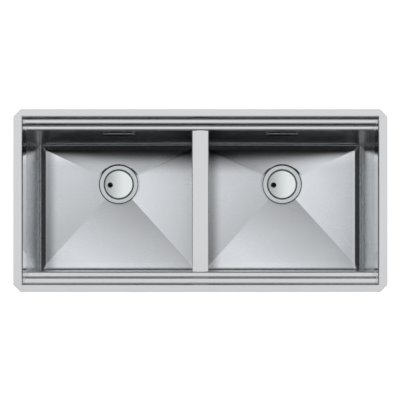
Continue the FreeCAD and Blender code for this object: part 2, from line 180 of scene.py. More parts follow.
def grooves_and_clouds(tree, grain_along, depth):
    """Hair-fine rolling or brushing grooves with faint clouds of polish: a roughness offset
    around zero and the bump they make."""
    place = add(tree, "ShaderNodeTexCoord").outputs["Object"]
    across = 1 / (GROOVE_WIDTH * MM)
    along = 1 / (GROOVE_LENGTH * MM)
    stretch = {"x": (along, across, across), "y": (across, along, across)}[grain_along]
    stretched = add(tree, "ShaderNodeMapping", inputs={"Vector": place, "Scale": stretch})
    grooves = add(tree, "ShaderNodeTexNoise", inputs={
        "Vector": stretched, "Scale": 1.0, "Detail": 3.0})
    cloud = add(tree, "ShaderNodeTexNoise", inputs={
        "Vector": place, "Scale": 1 / (CLOUD_SIZE * MM), "Detail": 2.0})
    offset = add(tree, MATH, {"operation": "MULTIPLY_ADD"}, {
        0: grooves, 1: GROOVE_ROUGH, 2: -(GROOVE_ROUGH + CLOUD_ROUGH) / 2})
    offset = add(tree, MATH, {"operation": "MULTIPLY_ADD"}, {
        0: cloud, 1: CLOUD_ROUGH, 2: offset})
    bump = add(tree, "ShaderNodeBump", inputs={
        "Height": grooves.outputs["Fac"], "Strength": 0.03, "Distance": depth})
    return offset, bump


def stainless(name, colour, roughness, grain_along, depth):
    """Stainless sheet. The rolls leave hair-fine grooves all one way, so the reflection is
    near a mirror's along them and softened across them."""
    material, tree = new_material(name)
    offset, bump = grooves_and_clouds(tree, grain_along, depth)
    rough = add(tree, MATH, {"operation": "ADD"}, {0: offset, 1: roughness})
    shader = add(tree, "ShaderNodeBsdfPrincipled", inputs={
        "Base Color": linear(colour), "Metallic": 1.0, "Roughness": rough, "Normal": bump})
    add(tree, "ShaderNodeOutputMaterial", inputs={"Surface": shader})
    return material


def beside_drain(tree, x):
    """How far a place lies to the right of the nearer drain's axis."""
    side = add(tree, MATH, {"operation": "SIGN"}, {0: x})
    drain_x = add(tree, MATH, {"operation": "MULTIPLY"}, {0: side, 1: DRAIN["right"][0] * MM})
    return add(tree, MATH, {"operation": "SUBTRACT"}, {0: x, 1: drain_x})


def bowl_stainless(name, colour):
    """Folded bowl of the same sheet, smooth on its walls and blurred on its brushed floor.
    Painted reflections and painted shade are laid in its colour by place on the bowl: a tone for
    each fall, painted light on the walls, painted shade in their bends, and dark strips of painted
    shade at the rear and towards the middle of the sink. They stand in for the reflections and
    shade of the photograph's room, so they stay the same in any other light."""
    material, tree = new_material(name)
    offset, bump = grooves_and_clouds(tree, "x", 0.004 * MM)
    coordinates = add(tree, "ShaderNodeTexCoord")
    place = add(tree, "ShaderNodeSeparateXYZ", inputs={"Vector": coordinates.outputs["Object"]})
    x, y = place.outputs["X"], place.outputs["Y"]
    normal = add(tree, "ShaderNodeSeparateXYZ", inputs={"Vector": coordinates.outputs["Normal"]})
    up = normal.outputs["Z"]
    aside = add(tree, MATH, {"operation": "ABSOLUTE"}, {0: normal.outputs["X"]})

    # Where a place lies among the four falls.
    across = beside_drain(tree, x)
    along = add(tree, MATH, {"operation": "SUBTRACT"}, {0: y, 1: DRAIN["right"][1] * MM})
    share_x = add(tree, MATH, {"operation": "DIVIDE"}, {
        0: add(tree, MATH, {"operation": "ABSOLUTE"}, {0: across}), 1: FALL_REACH["side"] * MM})
    share_y = add(tree, MATH, {"operation": "MAXIMUM"}, {
        0: add(tree, MATH, {"operation": "DIVIDE"}, {0: along, 1: -FALL_REACH["front"] * MM}),
        1: add(tree, MATH, {"operation": "DIVIDE"}, {0: along, 1: FALL_REACH["rear"] * MM})})
    lead = add(tree, MATH, {"operation": "SUBTRACT"}, {0: share_x, 1: share_y})
    sideways = add(tree, RAMP, SMOOTH, {
        "Value": lead, "From Min": -CREASE_BLEND, "From Max": CREASE_BLEND})
    endways = add(tree, MATH, {"operation": "SUBTRACT"}, {0: 1.0, 1: sideways})

    # Painted reflections and painted shade of the floor, fall by fall. The rear fall comes last
    # and is used again below.
    tone = FLOOR_TONE
    for half, distance, way, (level, by_x, by_y) in (
            (sideways, across, -1, LEFT_TONE), (sideways, across, 1, RIGHT_TONE),
            (endways, along, -1, FRONT_TONE), (endways, along, 1, REAR_TONE)):
        blend = way * AXIS_BLEND * MM
        on_side = add(tree, RAMP, SMOOTH, {
            "Value": distance, "From Min": -blend, "From Max": blend})
        fall = add(tree, MATH, {"operation": "MULTIPLY"}, {0: half, 1: on_side})
        here = add(tree, MATH, {"operation": "MULTIPLY_ADD"}, {0: across, 1: by_x, 2: level})
        here = add(tree, MATH, {"operation": "MULTIPLY_ADD"}, {0: along, 1: by_y, 2: here})
        tone = add(tree, MATH, {"operation": "MULTIPLY_ADD"}, {0: fall, 1: here, 2: tone})
    tone = add(tree, MATH, {"operation": "MINIMUM"}, {0: tone, 1: FLOOR_TONE})

    # Painted shade in strips along the left edge, along the rear and towards the middle of the
    # sink.
    edges = {}
    for edge, value, (start, end, dark) in (
            ("left", across, LEFT_EDGE_SHADE), ("rear", y, REAR_EDGE_SHADE), ("inner", y, INNER_EDGE_SHADE)):
        edges[edge] = add(tree, RAMP, SMOOTH, {
            "Value": value, "From Min": start * MM, "From Max": end * MM,
            "To Min": dark, "To Max": 0.0})
    tone = add(tree, MATH, {"operation": "ADD"}, {0: tone, 1: edges["left"]})
    outwards = add(tree, MATH, {"operation": "ABSOLUTE"}, {0: x})
    inner_fall = add(tree, MATH, {"operation": "MULTIPLY"}, {
        0: add(tree, RAMP, SMOOTH, {
            "Value": lead, "From Min": -INNER_BLEND, "From Max": 0.0}),
        1: add(tree, RAMP, SMOOTH, {
            "Value": outwards, "From Min": (DRAIN["right"][0] + AXIS_BLEND) * MM,
            "From Max": (DRAIN["right"][0] - AXIS_BLEND) * MM})})
    elsewhere = add(tree, MATH, {"operation": "SUBTRACT"}, {0: 1.0, 1: inner_fall})
    rear_only = add(tree, MATH, {"operation": "MULTIPLY"}, {0: fall, 1: elsewhere})
    # Painted shade of the rear and inner strips, taken off the floor's tone.
    painted_shade = add(tree, MATH, {"operation": "ADD"}, {
        0: add(tree, MATH, {"operation": "MULTIPLY"}, {0: rear_only, 1: edges["rear"]}),
        1: add(tree, MATH, {"operation": "MULTIPLY"}, {0: inner_fall, 1: edges["inner"]})})
    light = add(tree, MATH, {"operation": "SUBTRACT"}, {0: 1.0, 1: painted_shade})
    floor_tone = add(tree, MATH, {"operation": "MULTIPLY"}, {0: tone, 1: light})

    # Floor, bends and walls together, by how their faces lean.
    is_floor = add(tree, RAMP, SMOOTH, {
        "Value": up, "From Min": LEAN_FLOOR[0], "From Max": LEAN_FLOOR[1]})
    is_side = add(tree, RAMP, SMOOTH, {
        "Value": aside, "From Min": LEAN_SIDE[0], "From Max": LEAN_SIDE[1]})
    # Painted light on the walls and painted shade in the bends at their feet.
    wall_tone = add(tree, RAMP, SMOOTH, {
        "Value": up, "From Min": LEAN_BEND[0], "From Max": LEAN_BEND[1],
        "To Min": WALL_PAINTED_LIGHT, "To Max": BEND_PAINTED_SHADE})
    floor_rough = add(tree, RAMP, SMOOTH, {
        "Value": y, "From Min": BRUSH_FADE[0] * MM, "From Max": BRUSH_FADE[1] * MM,
        "To Min": REAR_ROUGH, "To Max": FLOOR_ROUGH})
    mixed = []
    for on_wall, on_floor, on_side in ((wall_tone, floor_tone, SIDE_PAINTED_LIGHT),
                                       (WALL_ROUGH, floor_rough, SIDE_ROUGH)):
        value = add(tree, "ShaderNodeMix", inputs={
            "Factor": is_floor, "A": on_wall, "B": on_floor})
        mixed.append(add(tree, "ShaderNodeMix", inputs={
            "Factor": is_side, "A": value, "B": on_side}))
    shade = add(tree, "ShaderNodeMix", {"data_type": "RGBA", "clamp_factor": False}, {
        "Factor": mixed[0], "A": BLACK, "B": linear(colour)})
    rough = add(tree, MATH, {"operation": "ADD"}, {0: offset, 1: mixed[1]})
    shader = add(tree, "ShaderNodeBsdfPrincipled", inputs={
        "Base Color": shade, "Metallic": 1.0, "Roughness": rough, "Normal": bump})
    add(tree, "ShaderNodeOutputMaterial", inputs={"Surface": shader})
    return material


def spun_stainless(name, colour, roughness):
    """Lid of polished stainless. Painted shade is laid on its left side, in place of what the real
    one mirrors there, so the right side shows a soft highlight."""
    material, tree = new_material(name)
    offset, bump = grooves_and_clouds(tree, "x", 0.002 * MM)
    place = add(tree, "ShaderNodeSeparateXYZ", inputs={
        "Vector": add(tree, "ShaderNodeTexCoord").outputs["Object"]})
    # Painted shade on the left side of each lid.
    tone = add(tree, RAMP, SMOOTH, {
        "Value": beside_drain(tree, place.outputs["X"]), "From Min": LID_HIGHLIGHT[0] * MM,
        "From Max": LID_HIGHLIGHT[1] * MM, "To Min": LID_PAINTED_SHADE})
    shade = add(tree, "ShaderNodeMix", {"data_type": "RGBA"}, {
        "Factor": tone, "A": BLACK, "B": linear(colour)})
    rough = add(tree, MATH, {"operation": "ADD"}, {0: offset, 1: roughness})
    shader = add(tree, "ShaderNodeBsdfPrincipled", inputs={
        "Base Color": shade, "Metallic": 1.0, "Roughness": rough, "Normal": bump})
    add(tree, "ShaderNodeOutputMaterial", inputs={"Surface": shader})
    return material


def matt_solid(name, colour, roughness, speckle_size):
    """A dull non-metal with a little variation of tone and a fine moulded texture."""
    material, tree = new_material(name)
    speckle = add(tree, "ShaderNodeTexNoise", inputs={
        "Vector": add(tree, "ShaderNodeTexCoord").outputs["Object"],
        "Scale": 1 / speckle_size, "Detail": 4.0})
    tone = add(tree, "ShaderNodeValToRGB", inputs={"Fac": speckle})
    shade = linear(colour)
    tone.color_ramp.elements[0].color = [c * SPECKLE_DARK for c in shade[:3]] + [1.0]
    tone.color_ramp.elements[1].color = shade
    bump = add(tree, "ShaderNodeBump", inputs={
        "Height": speckle.outputs["Fac"], "Strength": 0.3, "Distance": 0.05 * MM})
    shader = add(tree, "ShaderNodeBsdfPrincipled", inputs={
        "Base Color": tone, "Roughness": roughness, "Normal": bump})
    add(tree, "ShaderNodeOutputMaterial", inputs={"Surface": shader})
    return material


# Rim and ledges: a soft mirror. Flanges and cups: pressed, so a little duller.
sheet_steel = stainless("satin_rolled_stainless", "#D0D1D3", 0.14, "x", 0.004 * MM)
waste_steel = stainless("fine_satin_pressed_stainless", "#BFC4C6", 0.2, "x", 0.003 * MM)

# Ends of the ledges, near mirrors, so that the ledges seem to run on in them. Overflow
# plates, bright.
end_steel = stainless("polished_end_stainless", "#ECEDEE", 0.04, "y", 0.001 * MM)
plate_steel = stainless("rolled_plate_stainless", "#CDD0D3", 0.12, "x", 0.002 * MM)

# Outside of the sheet, left as it was pressed: grey and dull. Baskets tumbled with grit, so dull,
# and a darker grey laid on as painted shade, so that their inside shows dark through the lids'
# finger holes.
outer_steel = stainless("unpolished_outside_stainless", "#9DA0A3", 0.62, "x", 0.004 * MM)
basket_steel = stainless("dull_basket_painted_shade", "#A2A5A6", 0.5, "x", 0.002 * MM)

# Bowls: painted reflections, painted light and painted shade laid in their colour by place.
bowl_steel = bowl_stainless("brushed_bowl_painted_light_and_shade", "#E0E3E7")
lid_steel = spun_stainless("polished_lid_painted_shade", "#DDE2E2", 0.1)

# Seals and stoppers, the mats that quieten the sheet, and the mouldings below the floors.
black_rubber = matt_solid("moulded_nitrile_rubber", "#191A1A", 0.7, 0.8 * MM)
grey_pad = matt_solid("bitumen_damping_mat", "#4C4D4E", 0.85, 2.5 * MM)
white_plastic = matt_solid("moulded_polypropylene", "#DADAD6", 0.42, 1.5 * MM)

slot_materials = {
    "brushed_sheet": sheet_steel,
    "waste_steel": waste_steel,
    "seal_rubber": black_rubber,
    "damping_pad": grey_pad,
    "moulded_plastic": white_plastic,
}
for part in frame["record"]["subparts"]:
    for material_slot in frame["nodes"][part["node"]].material_slots:
        material_slot.material = slot_materials[part["material_slot"]]


# ------------------------------------------------------------------ making pieces

def new_piece(name, points, faces, material, body, slot, sharp_above=FOLD_ANGLE):
    """A piece from points in millimetres, smooth but for folds sharper than the angle."""
    mesh = bpy.data.meshes.new(name)
    mesh.from_pydata([tuple(c * MM for c in point) for point in points], [], faces)
    mesh.shade_smooth()
    mesh.set_sharp_from_angle(angle=math.radians(sharp_above))
    mesh.materials.append(material)
    piece = bpy.data.objects.new(name, mesh)
    scene.collection.objects.link(piece)
    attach(piece, body)
    return piece


def nested(loops, left_open=lambda row, column: False):
    """Points and faces of closed loops, each joined to the next. Cells can be left open."""
    count = len(loops[0])
    points = [point for loop in loops for point in loop]
    faces = []
    for row in range(len(loops) - 1):
        for column in range(count):
            if left_open(row, column):
                continue
            after = (column + 1) % count
            faces.append((row * count + column, row * count + after,
                          (row + 1) * count + after, (row + 1) * count + column))
    return points, faces


def capped(loops):
    """Nested loops closed by one face over the last."""
    points, faces = nested(loops)
    count = len(loops[0])
    faces.append(tuple(range(len(points) - count, len(points))))
    return points, faces


def slab(near, far):
    """Solid between two outlines."""
    points, faces = capped([near, far])
    return points, faces + [tuple(range(len(near)))[::-1]]


def joined(parts):
    """Points and faces of several meshes as one."""
    points = []
    faces = []
    for part_points, part_faces in parts:
        first = len(points)
        points += part_points
        faces += [tuple(first + index for index in face) for face in part_faces]
    return points, faces


def thicken(piece, thickness, outside=None):
    """Give a sheet piece its thickness, away from the side that its faces look to, and there
    a finish of its own where one is given."""
    solid = piece.modifiers.new("sheet_thickness", "SOLIDIFY")
    if outside:
        piece.data.materials.append(outside)
        solid.material_offset = 1
    solid.thickness = thickness * MM
    solid.offset = -1.0
    solid.use_even_offset = True
    shaped = piece.evaluated_get(bpy.context.evaluated_depsgraph_get())
    mesh = bpy.data.meshes.new_from_object(shaped)
    mesh.set_sharp_from_angle(angle=math.radians(FOLD_ANGLE))
    piece.modifiers.clear()
    piece.data = mesh


def circle(radius, z, middle, count=TURN):
    """Loop of points round an upright axis, counter-clockwise from above."""
    return [(middle[0] + radius * math.cos(2 * math.pi * i / count),
             middle[1] + radius * math.sin(2 * math.pi * i / count), z) for i in range(count)]


def turned(profile, middle):
    """Loops of a turned piece, from its (radius, z) profile."""
    return [circle(radius, z, middle) for radius, z in profile]


def quarter(radius, steps=4):
    """Cosine and sine offsets of a quarter turn of an edge's rounding."""
    turns = [math.pi / 2 * i / steps for i in range(steps + 1)]
    return [(radius * math.cos(turn), radius * math.sin(turn)) for turn in turns]


def smooth_step(low, high, value):
    """0 at the low end to 1 at the high end, level at both."""
    share = min(max((value - low) / (high - low), 0.0), 1.0)
    return share * share * (3 - 2 * share)


# ------------------------------------------------------------------ bowls

# The right-hand bowl, in millimetres from the middle of the rim's top: levels, walls with the
# lean they have up to the lower ledge, bends, falls, drain recess and overflow slot.
FLOOR = -200.0
SEAM = -39.2
LEDGE = -32.0
INNER_X = 12.0
OUTER_X = 447.0
FRONT_Y, FRONT_LEAN = -173.8, 4.2
REAR_Y, REAR_LEAN = 175.2, 8.3
BEND_TOP = 25.0
BEND_STEPS = 14
BEND_LEVELS = [BEND_TOP * (step / BEND_STEPS) ** 1.7 for step in range(BEND_STEPS)]
FALL = 6.0
RECESS_RADIUS = 55.0
RECESS_Z = -207.0
HOLE_RADIUS = 43.8
SLOT_X = (182.0, 244.0)
SLOT_Z = (-79.0, -65.0)
SOFT_CREASE = 0.03
REAR_SLOPE = 0.115
REAR_REACH = (12.0, 52.0)
REAR_REACH_AT = (433.0, 90.0)
MIDDLE_SLOPE = 0.5
MIDDLE_REACH = 110.0
CELLS_WIDE = 52
CELLS_DEEP = 44
FLOOR_RINGS = 26
RECESS_EDGE = 0.8
WALL_LEVELS = [FLOOR + BEND_TOP, -165.0, -150.0, -130.0, -110.0, -92.0, SLOT_Z[0], SLOT_Z[1],
               -55.0, SEAM]


def arc_bend(radius, start, wall_slope=0.0, steps=24):
    """Section of a bend at the foot of a wall, as (inset from the wall's foot, height): an
    arc that leaves the floor at an angle in degrees, so that a crease shows there."""
    end = 90.0 - math.degrees(math.atan(wall_slope))
    turns = [math.radians(start + (end - start) * i / steps) for i in range(steps + 1)]
    heights = [radius * (math.cos(turns[0]) - math.cos(turn)) for turn in turns]
    insets = [radius * (math.sin(turns[-1]) - math.sin(turn)) - wall_slope * heights[-1]
              for turn in turns]
    return list(zip(insets, heights))


def wall_place(foot, lean, outward, bend, z):
    """Where a bowl's wall, or the bend at its foot, is at a height."""
    height = z - FLOOR
    if height >= bend[-1][1]:
        return foot + outward * lean * height / (LEDGE - FLOOR)
    for (inset, low), (next_inset, high) in zip(bend, bend[1:]):
        if height <= high:
            share = (height - low) / (high - low)
            return foot - outward * (inset + (next_inset - inset) * share)


def strip_bend(width, level, start, wall_slope=0.0):
    """Section of a bend that starts as a flat sloping strip up to one of the levels, and
    then turns up into the wall in a smaller arc."""
    run = BEND_LEVELS[level] / math.tan(math.radians(start))
    small = arc_bend(1.0, start, wall_slope)
    radius = (width - run) / (small[0][0] + wall_slope * small[-1][1])
    arc = arc_bend(radius, start, wall_slope)
    strip = [(arc[0][0] + run, 0.0)]
    return strip + [(inset, height + BEND_LEVELS[level]) for inset, height in arc]


# A narrow steep strip at the side, a wide shallow one at the front, and none at the middle.
SIDE_BEND = strip_bend(14.5, 6, 26.0)
REAR_BEND = strip_bend(14.2, 4, 17.0, REAR_LEAN / (LEDGE - FLOOR))
FRONT_BEND = strip_bend(14.2, 2, 5.6, FRONT_LEAN / (LEDGE - FLOOR))
INNER_BEND = arc_bend(14.5, 0.0)


def wall_loop(z, shares):
    """Corner-to-corner loop of the right-hand bowl's walls at a height."""
    x0 = wall_place(INNER_X, 0.0, -1, INNER_BEND, z)
    x1 = wall_place(OUTER_X, 0.0, 1, SIDE_BEND, z)
    y0 = wall_place(FRONT_Y, FRONT_LEAN, -1, FRONT_BEND, z)
    y1 = wall_place(REAR_Y, REAR_LEAN, 1, REAR_BEND, z)
    corners = [(x0, y0), (x1, y0), (x1, y1), (x0, y1)]
    loop = []
    for side, (start, end) in enumerate(zip(corners, corners[1:] + corners[:1])):
        for share in shares[side]:
            loop.append((start[0] + (end[0] - start[0]) * share,
                         start[1] + (end[1] - start[1]) * share, z))
    return loop


def rear_rise(x, from_rear):
    """How much the press lifts the floor against the rear wall: over a wider strip, and
    steeper, towards the middle of the sink than beside the outer wall."""
    narrow, wide = REAR_REACH
    reach = narrow + (wide - narrow) * smooth_step(*REAR_REACH_AT, x)
    slope = REAR_SLOPE * (1 + MIDDLE_SLOPE * smooth_step(MIDDLE_REACH, 0.0, x - INNER_X))
    share = 1 - min(max(from_rear, 0.0) / (2 * reach), 1.0)
    return slope * reach * share * share


def floor_height(x, y, edge):
    """Height of the right-hand bowl's floor: four falls to the drain, softly creased."""
    drain_x, drain_y = DRAIN["right"]
    (x0, y0), (x1, y1) = edge
    shares = sorted([(x - x0) / (drain_x - x0), (x1 - x) / (x1 - drain_x),
                     (y - y0) / (drain_y - y0), (y1 - y) / (y1 - drain_y)])
    blend = max(SOFT_CREASE - (shares[1] - shares[0]), 0.0) / SOFT_CREASE
    share = shares[0] - blend * blend * SOFT_CREASE / 4
    return FLOOR - FALL * max(share, 0.0) + rear_rise(x, y1 - y)


def bowl_mesh(side):
    """Right-hand bowl from the drain hole out over the floor and up the walls, mirrored for
    the left: loops of points, with the overflow slot's cells left open."""
    wide = sorted([i / CELLS_WIDE for i in range(CELLS_WIDE)]
                  + [(x - INNER_X) / (OUTER_X - INNER_X) for x in SLOT_X])
    deep = [i / CELLS_DEEP for i in range(CELLS_DEEP)]
    rear = [0.0] + sorted(1 - share for share in wide if share > 0)
    shares = [wide, deep, rear, deep]
    rear_start = len(wide) + len(deep)
    edge_loop = wall_loop(FLOOR, shares)
    edge = (edge_loop[0][:2], edge_loop[rear_start][:2])

    def lifted(loop, share):
        return [(x, y, z + share * rear_rise(x, edge[1][1] - y)) for x, y, z in loop]

    edge_loop = lifted(edge_loop, 1.0)
    drain = Vector(DRAIN["right"])
    ways = [(Vector(point[:2]) - drain).normalized() for point in edge_loop]

    def round_loop(radius, height):
        return [(drain.x + way.x * radius, drain.y + way.y * radius, height(way)) for way in ways]

    def rim_height(way):
        return floor_height(drain.x + way.x * RECESS_RADIUS, drain.y + way.y * RECESS_RADIUS, edge)

    loops = [round_loop(HOLE_RADIUS, lambda way: RECESS_Z),
             round_loop(RECESS_RADIUS - RECESS_EDGE, lambda way: RECESS_Z)]
    for run, rise in quarter(RECESS_EDGE)[1:][::-1]:
        loops.append(round_loop(RECESS_RADIUS - run,
                                lambda way, r=rise: RECESS_Z + RECESS_EDGE - r))
    for run, rise in quarter(RECESS_EDGE)[::-1]:
        loops.append(round_loop(RECESS_RADIUS + RECESS_EDGE - rise,
                                lambda way, r=run: rim_height(way) - r))
    start = loops[-1]
    for ring in range(1, FLOOR_RINGS):
        share = (ring / FLOOR_RINGS) ** 1.25
        loop = []
        for near, far in zip(start, edge_loop):
            x = near[0] + (far[0] - near[0]) * share
            y = near[1] + (far[1] - near[1]) * share
            loop.append((x, y, floor_height(x, y, edge)))
        loops.append(loop)
    for rise in BEND_LEVELS:
        loops.append(lifted(wall_loop(FLOOR + rise, shares), 1.0))
    for level in WALL_LEVELS:
        loops.append(lifted(wall_loop(level, shares), smooth_step(-110.0, -175.0, level)))
    slot_row = len(loops) - len(WALL_LEVELS) + WALL_LEVELS.index(SLOT_Z[0])

    def in_slot(row, column):
        if row != slot_row or not rear_start <= column < rear_start + len(rear):
            return False
        ends = loops[row][column][0], loops[row][(column + 1) % len(edge_loop)][0]
        return SLOT_X[0] < sum(ends) / 2 < SLOT_X[1]

    points, faces = nested(loops, in_slot)
    if side == "left":
        points = [(-x, y, z) for x, y, z in points]
    else:
        faces = [face[::-1] for face in faces]
    return points, faces


for side in SIDES:
    points, faces = bowl_mesh(side)
    bowl = new_piece(side + "_pressed_bowl", points, faces, bowl_steel, "sink", "brushed_sheet")
    thicken(bowl, SHEET, outside=outer_steel)
    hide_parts(side + "_bowl")


# ------------------------------------------------------------------ wastes

FLANGE_RADIUS = 53.5
FLANGE_TOP = -205.8
CUP_INNER = 41.4
CUP_SEAT = -234.3
CUP_RINGS = (33.0, 27.0, 19.0, 11.0, 5.0, 0.6)
CUP_SLOT = (2, 5)
LID_RADIUS = 39.4
LID_TOP = -205.0
LID_FOOT = -207.8
LID_CROWN = 0.5
LID_ROLL = 1.5
LID_RINGS = 22
HOLE_OFFSET = (-23.8, -2.0)
HOLE_DEPTH = 2.8
HOLE_EDGE = 0.4
FINGER_RADIUS = 7.4
SEALING_BEAD = 0.9
LID_SHEET = 0.9


def strainer_loops(middle):
    """Pressed cup: flange with a rounded lip, a rounded mouth and a flat slotted bottom."""
    lip = 0.6
    mouth = 1.6
    foot = 2.5
    profile = [(FLANGE_RADIUS, RECESS_Z + 0.1)]
    profile += [(FLANGE_RADIUS - lip + run, FLANGE_TOP - lip + rise) for run, rise in quarter(lip)]
    profile += [(CUP_INNER + mouth - rise, FLANGE_TOP - mouth + run)
                for run, rise in quarter(mouth)]
    profile += [(CUP_INNER - foot + run, CUP_SEAT + foot - rise) for run, rise in quarter(foot)]
    first_slot = len(profile) + 1
    profile += [(radius, CUP_SEAT) for radius in CUP_RINGS]
    return turned(profile, middle), first_slot


def slot_gap(first_row, rows, width, slots=6):
    """Which cells are left open for slots spread evenly round a turned bottom: so many rows
    long and so many cells wide."""
    pitch = TURN // slots
    return lambda row, column: (first_row <= row < first_row + rows
                                and (column + width // 2) % pitch < width)


cups = []
for side in SIDES:
    loops, slot_row = strainer_loops(DRAIN[side])
    cups.append(nested(loops, slot_gap(slot_row, *CUP_SLOT)))
points, faces = joined(cups)
strainers = new_piece("pressed_strainer_cups", points, faces, waste_steel, "sink", "waste_steel")
thicken(strainers, SHEET)
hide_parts("strainer_flanges")

# A dark rubber bead round each strainer flange: partly a seal, partly painted shade that stands in
# for the shadow in the gap between flange and recess.
half = (RECESS_RADIUS - FLANGE_RADIUS) / 2
bead_profile = [(FLANGE_RADIUS + half + half * 1.15 * math.cos(math.pi * i / 8),
                 RECESS_Z + 0.1 + SEALING_BEAD * math.sin(math.pi * i / 8)) for i in range(9)]
points, faces = joined([nested(turned(bead_profile, DRAIN[side])) for side in SIDES])
new_piece("sealing_beads_and_gap_shadow", points, faces, black_rubber, "sink", "seal_rubber")


def lid_height(radius):
    """Top of the crowned lid, with its edge rolled over."""
    crown = LID_TOP - LID_CROWN * (radius / LID_RADIUS) ** 2
    past_crown = max(radius - (LID_RADIUS - LID_ROLL), 0.0)
    drop = LID_ROLL - math.sqrt(max(LID_ROLL ** 2 - past_crown ** 2, 0.0))
    return crown - drop * 0.8


def lid_mesh(middle):
    """Crowned lid with a rolled edge, and a finger hole whose edge is turned down."""
    hole = (middle[0] + HOLE_OFFSET[0], middle[1] + HOLE_OFFSET[1])
    level = lid_height(math.hypot(*HOLE_OFFSET))
    loops = [circle(FINGER_RADIUS, level - HOLE_DEPTH, hole)]
    loops += [circle(FINGER_RADIUS + HOLE_EDGE - run, level - HOLE_EDGE + rise, hole)
              for run, rise in quarter(HOLE_EDGE)]
    inner = loops[-1]
    outer = circle(LID_RADIUS, 0.0, middle)
    for step in range(1, LID_RINGS + 1):
        share = 1 - (1 - step / LID_RINGS) ** 1.6
        loop = []
        for near, far in zip(inner, outer):
            x = near[0] + (far[0] - near[0]) * share
            y = near[1] + (far[1] - near[1]) * share
            height = lid_height(math.hypot(x - middle[0], y - middle[1]))
            loop.append((x, y, height if step > 2 else level + (height - level) * step / 3))
        loops.append(loop)
    loops.append(circle(LID_RADIUS, LID_FOOT, middle))
    return nested(loops)


for side in SIDES:
    points, faces = lid_mesh(DRAIN[side])
    lid = new_piece(side + "_crowned_lid", points, [face[::-1] for face in faces], lid_steel,
                    side + "_lid_unit", "waste_steel")
    thicken(lid, LID_SHEET)
    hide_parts(side + "_lid")


BASKET_RADIUS = 40.6
BASKET_SHEET = 1.0
BASKET_WALL = 0.98
BASKET_FLOOR = -231.3
BASKET_TOP = -207.8
BASKET_RINGS = (4.0, 8.0, 12.0, 21.0, 30.0, 34.0)
BASKET_SLOT = (2, 2, 4)
TAB_WIDTH = 14.0
TAB_TOP = -216.3
TAB_CORNER = 5.0
STOPPER_RADIUS = 30.0


def basket_mesh(middle):
    """Drawn basket: slotted bottom, rounded foot and plain upright wall."""
    floor = BASKET_FLOOR + BASKET_SHEET
    inside = BASKET_RADIUS - BASKET_SHEET
    foot = 4.0
    profile = [(radius, floor) for radius in BASKET_RINGS]
    profile += [(inside - foot + rise, floor + foot - run) for run, rise in quarter(foot, 6)]
    profile += [(inside, level) for level in (-222.0, -214.0, BASKET_TOP - 0.4)]
    return nested(turned(profile, middle), slot_gap(*BASKET_SLOT))


def tab_mesh(middle):
    """Upright tab with a rounded top, on a small round foot."""
    outline = [(-TAB_WIDTH / 2, BASKET_FLOOR + 0.2), (TAB_WIDTH / 2, BASKET_FLOOR + 0.2)]
    for way, first in ((1, 0.0), (-1, 90.0)):
        for step in range(9):
            turn = math.radians(first + 90.0 * step / 8)
            outline.append((way * (TAB_WIDTH / 2 - TAB_CORNER) + TAB_CORNER * math.cos(turn),
                            TAB_TOP - TAB_CORNER + TAB_CORNER * math.sin(turn)))
    half = BASKET_SHEET / 2
    plate = slab(*[[(middle[0] + x, middle[1] + y, z) for x, z in outline] for y in (-half, half)])
    floor = BASKET_FLOOR + BASKET_SHEET
    foot = capped([circle(radius, z, middle, 32) for radius, z in (
        (4.4, BASKET_FLOOR + 0.1), (4.4, floor + 0.5), (3.9, floor + 0.9))])
    return joined([plate, (foot[0], [face[::-1] for face in foot[1]])])


def stopper_mesh(middle):
    """Moulded stopper with rounded rims and two fine ribs round its side."""
    foot, top, radius = CUP_SEAT, BASKET_FLOOR, STOPPER_RADIUS
    profile = [(4.0, foot), (radius - 0.5, foot), (radius - 0.1, foot + 0.3)]
    for rib in (foot + 0.8, foot + 1.9):
        profile += [(radius - 0.35, rib - 0.2), (radius, rib), (radius, rib + 0.2),
                    (radius - 0.35, rib + 0.4)]
    profile += [(radius - 0.1, top - 0.3), (radius - 0.5, top), (4.0, top)]
    return capped(turned(profile, middle))


for side in SIDES:
    unit = side + "_basket_unit"
    points, faces = basket_mesh(DRAIN[side])
    basket = new_piece(side + "_drawn_basket", points, [face[::-1] for face in faces],
                       basket_steel, unit, "waste_steel")
    thicken(basket, BASKET_WALL)
    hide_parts(side + "_basket")
    new_piece(side + "_basket_tab", *tab_mesh(DRAIN[side]), basket_steel, unit,
              "waste_steel", EDGE_ANGLE)
    points, faces = stopper_mesh(DRAIN[side])
    stopper = new_piece(side + "_ribbed_stopper", points, faces, black_rubber, unit,
                        "seal_rubber", EDGE_ANGLE)
    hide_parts(side + "_basket_seal")


# ------------------------------------------------------------------ rim, ledges and ends

# Half length, half width and cut corners of the rim; its opening's half length, front and rear.
RIM = (470.0, 230.0, 18.5)
RIM_OPENING = (447.0, -209.0, 209.5)
RIM_EDGE = 0.3
RIM_SKIRT = 8.0
RIM_BEND = 3.0
RIM_END_BEND = 0.6
OPENING_CORNER = 15.0

# For each pair of ledges: which way it faces outwards, where the rim's skirt, the step between
# the ledges and the bowl's wall stand, and how wide the bend at the foot of each riser is.
LEDGES = {"rear": (1, 209.5, 196.0, 183.5, 4.0), "front": (-1, -209.0, -193.0, -178.0, 2.8)}
LEDGE_BEND = 3.0

CREASE_ANGLE = 35.0
UPPER_LEDGE = -16.0
END_X = 447.0


def crisp_bend(width):
    """Bend of a given width that starts at a crease, as (inset, drop) from flat to upright."""
    radius = width / (1 - math.sin(math.radians(CREASE_ANGLE)))
    return arc_bend(radius, CREASE_ANGLE, steps=8)


def deck_loop(half_x, front_y, rear_y, cut, tip, z):
    """Loop round the rim with three points at each corner: where its cut starts, a tip that
    may stand back from the square corner, and where the cut ends."""
    loop = []
    for sx, y in ((1, front_y), (1, rear_y), (-1, rear_y), (-1, front_y)):
        sy = 1 if y > 0 else -1
        corner = [(sx * (half_x - cut), y, z), (sx * (half_x - tip), y - sy * tip, z),
                  (sx * half_x, y - sy * cut, z)]
        loop += corner if sx * sy < 0 else corner[::-1]
    return loop


